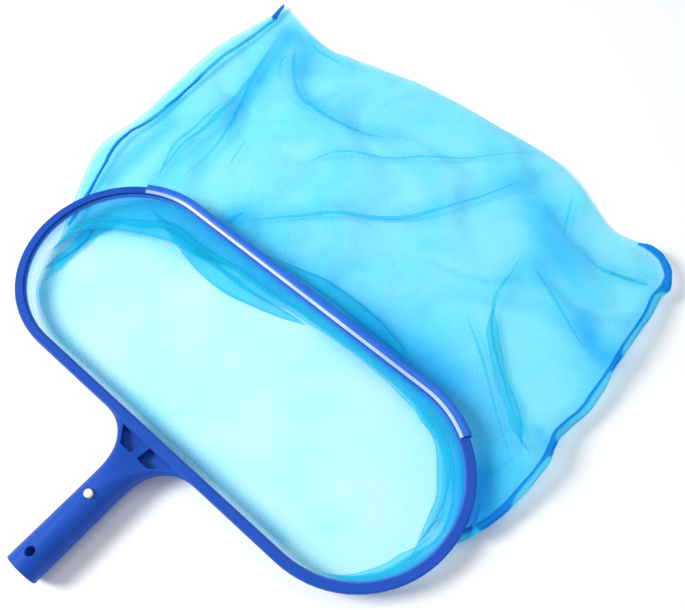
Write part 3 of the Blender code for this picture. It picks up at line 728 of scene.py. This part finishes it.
def pleat(layer, tree, route, half_width, shade, stations=60, sides=6):
    """A narrow fold of cloth lying on the layer: a flat tube that tapers out at both ends."""
    line = smooth_route(route, np.linspace(0, 1, stations))
    ahead = np.gradient(line, axis=0)
    ahead /= np.hypot(ahead[:, 0], ahead[:, 1])[:, None]
    across = np.stack([-ahead[:, 1], ahead[:, 0]], -1)
    base = []
    for x, y in line:
        near = [layer[index][2] for _, index, _ in tree.find_n((x, y, 0), 8)]
        base.append(sum(near) / len(near))
    base = np.convolve(np.pad(base, 4, mode="edge"), np.ones(9) / 9, "valid")
    share = np.linspace(0, 1, stations)
    taper = np.sin(np.pi * share) ** 1.1 * (1.03 + 0.35 * waver(share, 5, 40.0 * half_width * 1000))
    angles = np.arange(sides) * 2 * math.pi / sides
    width = half_width * taper
    place = line[:, None] + across[:, None] * (np.cos(angles)[None, :, None] * width[:, None, None])
    height = base[:, None] + 0.0002 + (0.35 + 0.35 * np.sin(angles))[None] * width[:, None] * 0.6
    bunching_and_shade = (0.4 * shade + 0.25 * np.abs(np.cos(angles)) ** 4)[None] * np.ones((stations, 1))
    index = np.arange(stations * sides).reshape(stations, sides)
    around = np.roll(index, -1, 1)
    quads = np.stack([index[:-1], around[:-1], around[1:], index[1:]], -1).reshape(-1, 4)
    points = np.concatenate([place, height[..., None]], -1).reshape(-1, 3)
    return points, quads, bunching_and_shade.reshape(-1), points[:, :2]


def seam_strip(name, stations, half_width, material, knots, right):
    """A rolled overlocked edge along a run of points: tight on its inner side and where it twists."""
    stations = [Vector(point) for point in stations]
    work = bmesh.new()
    uv = work.loops.layers.uv.new("cloth")
    profile = [(-1.0, -0.2), (-0.7, 0.5), (-0.25, 0.95), (0.25, 0.9), (0.7, 0.4), (1.0, -0.3)]
    rows, run = [], 0.0
    for i, point in enumerate(stations):
        ahead = stations[min(i + 1, len(stations) - 1)] - stations[max(i - 1, 0)]
        ahead.z = 0
        ahead.normalize()
        side = Vector((-ahead.y, ahead.x, 0))
        if i:
            run += (point - stations[i - 1]).length
        end = min(1.0, 0.35 + i / 6, 0.35 + (len(stations) - 1 - i) / 5)
        width = half_width * end * (1 + 0.40 * noise.noise((run * 45, half_width * 900, 0.4)))
        open_share = 1 - max(math.exp(-((point.y - place) / reach) ** 2) for place, reach in knots)
        if i >= len(stations) - TAIL_STATIONS:
            width *= TAIL_WIDENING * (1 + 0.30 * noise.noise((run * 190, 7.1, 0.4)))
            open_share = 0.0
        width *= 0.75 + 0.25 * open_share
        line = [work.verts.new(point + side * (x * width) + Vector((0, 0, z * SEAM_CROWN)))
                for x, z in profile]
        rows.append((run, open_share, line))
    for (run_a, open_a, one), (run_b, open_b, two) in zip(rows, rows[1:]):
        for j in range(len(profile) - 1):
            face = work.faces.new((one[j], one[j + 1], two[j + 1], two[j]))
            corners = ((j, open_a, run_a), (j + 1, open_a, run_a), (j + 1, open_b, run_b), (j, open_b, run_b))
            for loop, (step, open_share, y) in zip(face.loops, corners):
                loop[uv].uv = (0.001 * open_share * (5 - step if right else 1.9), y)
    return add_piece(name, work, material)


def stitch_thread(name, stations, half_width, material):
    """Zigzag thread over a seam as thin square tubes."""
    stations = [Vector(point) for point in stations]
    lengths = [0.0]
    for a, b in zip(stations, stations[1:]):
        lengths.append(lengths[-1] + (b - a).length)
    count = int(lengths[-1] / STITCH_PITCH)
    path = []
    for k in range(2 * count + 1):
        at = lengths[-1] * k / (2 * count)
        i = max(0, min(len(stations) - 2, int(np.searchsorted(lengths, at)) - 1))
        t = (at - lengths[i]) / max(lengths[i + 1] - lengths[i], 1e-9)
        ahead = stations[i + 1] - stations[i]
        side = Vector((-ahead.y, ahead.x, 0)).normalized()
        offset = half_width * 0.9 if k % 2 else -half_width * 0.9
        path.append(stations[i].lerp(stations[i + 1], t) + side * offset + Vector((0, 0, STITCH_LIFT)))
    work = bmesh.new()
    rings = []
    for i, point in enumerate(path):
        ahead = (path[min(i + 1, len(path) - 1)] - path[max(i - 1, 0)]).normalized()
        side = ahead.cross(Vector((0, 0, 1))).normalized()
        up = side.cross(ahead)
        rings.append([work.verts.new(point + (side * math.cos(a) + up * math.sin(a)) * STITCH_RADIUS)
                      for a in (0, math.pi / 2, math.pi, 3 * math.pi / 2)])
    add_tube(work, rings)
    return add_piece(name, work, material)


net, front_points = build_net()
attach(net, "skimmer_head")
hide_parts("net_bag")

seam_look = seam_material()
thread_look = moulded_plastic(
    "stitch_thread", (0.006, 0.16, 0.62), (0.012, 0.24, 0.74), 0.6, bump=0.2, specular=0.1)
seam_pieces = []
for label, column, left_out in (("left", 0, 5), ("right", -1, 7)):
    half_width = SEAM_HALF_WIDTHS[label]
    edge = front_points[TUCK_ROWS:, column][::2][:-left_out]
    tail = smooth_route(SEAM_TAILS[label], np.linspace(0, 1, TAIL_STATIONS)).tolist()
    run = [(x, y, z + 0.0004) for x, y, z in edge] + tail
    knots = SEAM_KNOTS[label]
    strip = seam_strip(f"{label}_overlock", run, half_width, seam_look, knots, label == "right")
    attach(strip, "skimmer_head")
    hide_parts(f"{label}_side_seam")
    thread = stitch_thread(f"{label}_stitches", run[:-2], half_width * 1.1, thread_look)
    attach(thread, "skimmer_head")
    seam_pieces += [strip, thread]

# Clip spring, in two halves --------------------------------------------------------------------------

MID_HEIGHT = 0.0175
CLIP_BEND_Y = -0.1850
CLIP_BEND_RADIUS = 0.0030
CLIP_PAD_HEIGHT = 0.0069
CLIP_PAD = (-0.1525, -0.1405)
CLIP_HALF_WIDTH = 0.0040
CLIP_HALF_THICKNESS = 0.0005
CLIP_CHAMFER = 0.00015


def clip_leg(name, side, material):
    """Half of the V clip: a bend, a straight leg and a pad at its button."""
    bend = [(CLIP_BEND_Y - CLIP_BEND_RADIUS * math.cos(a), CLIP_BEND_RADIUS * math.sin(a))
            for a in np.linspace(0, math.pi / 2, 9)]
    leg = [(CLIP_BEND_Y + t * (CLIP_PAD[0] - CLIP_BEND_Y),
            CLIP_BEND_RADIUS + t * (CLIP_PAD_HEIGHT - CLIP_BEND_RADIUS)) for t in np.linspace(0, 1, 17)[1:]]
    pad = [((CLIP_PAD[0] + CLIP_PAD[1]) / 2, CLIP_PAD_HEIGHT), (CLIP_PAD[1], CLIP_PAD_HEIGHT)]
    line = np.array(bend + leg + pad) * (1, side)
    ahead = np.gradient(line, axis=0)
    ahead /= np.hypot(ahead[:, 0], ahead[:, 1])[:, None]
    wide, thick, chamfer = CLIP_HALF_WIDTH, CLIP_HALF_THICKNESS, CLIP_CHAMFER
    under = [(-wide, chamfer - thick), (chamfer - wide, -thick),
             (wide - chamfer, -thick), (wide, chamfer - thick)]
    section = under + [(-x, -h) for x, h in under]
    work = bmesh.new()
    rings = [[work.verts.new((x, y - tilt[1] * h, MID_HEIGHT + z + tilt[0] * h)) for x, h in section]
             for (y, z), tilt in zip(line, ahead)]
    add_tube(work, rings)
    piece = add_piece(name, work, material, sharp_degrees=30)
    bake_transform(piece)
    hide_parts("clip_spring")


clip_look = brushed_steel()
clip_leg("clip_upper_leg", 1, clip_look)
clip_leg("clip_lower_leg", -1, clip_look)

# Finishes of the CAD pieces -----------------------------------------------------------------------------

button_look = moulded_plastic("button_plastic", (0.84, 0.86, 0.84), (0.90, 0.91, 0.89), 0.25, bump=0.02)
finishes = {
    "frame": moulded_plastic(
        "frame_plastic", (0.007, 0.064, 0.40), (0.010, 0.075, 0.45), 0.45, specular=0.18),
    "front_lip": moulded_plastic(
        "lip_plastic", (0.008, 0.12, 0.58), (0.012, 0.15, 0.66), 0.30, bump=0.03, coat=0.15, specular=0.3),
    # The bead's pale colour is a painted highlight: it stands in for the glossy lip's reflection of the lamp
    # along its inner edge.
    "lip_bead": moulded_plastic(
        "bead_plastic", (0.28, 0.43, 0.80), (0.50, 0.64, 0.92), 0.18, bump=0.02, coat=0.6),
    "net_retainer": moulded_plastic("retainer_plastic", (0.03, 0.13, 0.55), (0.04, 0.16, 0.62), 0.35),
    "upper_button": button_look,
    "lower_button": button_look,
}
for node, finish in finishes.items():
    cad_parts[node].material_slots[0].material = finish

# Floor, light and camera --------------------------------------------------------------------------------

FLOOR_HALF = 4
floor_mesh = bpy.data.meshes.new("floor")
floor_mesh.from_pydata([(x * FLOOR_HALF, y * FLOOR_HALF, 0) for x, y in SQUARE], [], [(0, 1, 2, 3)])
floor = bpy.data.objects.new("floor", floor_mesh)
scene.collection.objects.link(floor)
floor_nodes = Nodes("floor")
floor_mesh.materials.append(floor_nodes.surface(
    floor_nodes.add("BsdfDiffuse", {"Color": (0.93, 0.935, 0.94, 1.0)}).outputs["BSDF"]))

world = bpy.data.worlds.new("studio")
scene.world = world
world.use_nodes = True
world.node_tree.nodes["Background"].inputs["Color"].default_value = (0.94, 0.965, 1.0, 1.0)
world.node_tree.nodes["Background"].inputs["Strength"].default_value = 0.50


def softbox(name, place, size, power):
    """A square white lamp that points at the middle of the net."""
    light = bpy.data.lights.new(name, "AREA")
    light.shape = "SQUARE"
    light.size = size
    light.energy = power
    lamp = bpy.data.objects.new(name, light)
    lamp.location = place
    lamp.rotation_euler = (Vector(LIT_POINT) - Vector(place)).to_track_quat("-Z", "Y").to_euler()
    scene.collection.objects.link(lamp)


LIT_POINT = (0, 0.1, 0)
softbox("key", (-1.15, -1.05, 1.45), 0.8, 47)
softbox("top", (0.25, 0.75, 1.7), 1.0, 5)

scene.view_settings.view_transform = "Standard"
scene.view_settings.look = "None"

eye, target = Vector((0.2444, -0.1440, 0.6051)), Vector((0.0333, 0.0996, 0.021))
lens = bpy.data.cameras.new("camera")
lens.sensor_width = 36
lens.lens = 41.47
lens.clip_start = 0.01
camera = bpy.data.objects.new("camera", lens)
camera.location = eye
camera.rotation_euler = (target - eye).to_track_quat("-Z", "Y").to_euler()
scene.collection.objects.link(camera)
scene.camera = camera
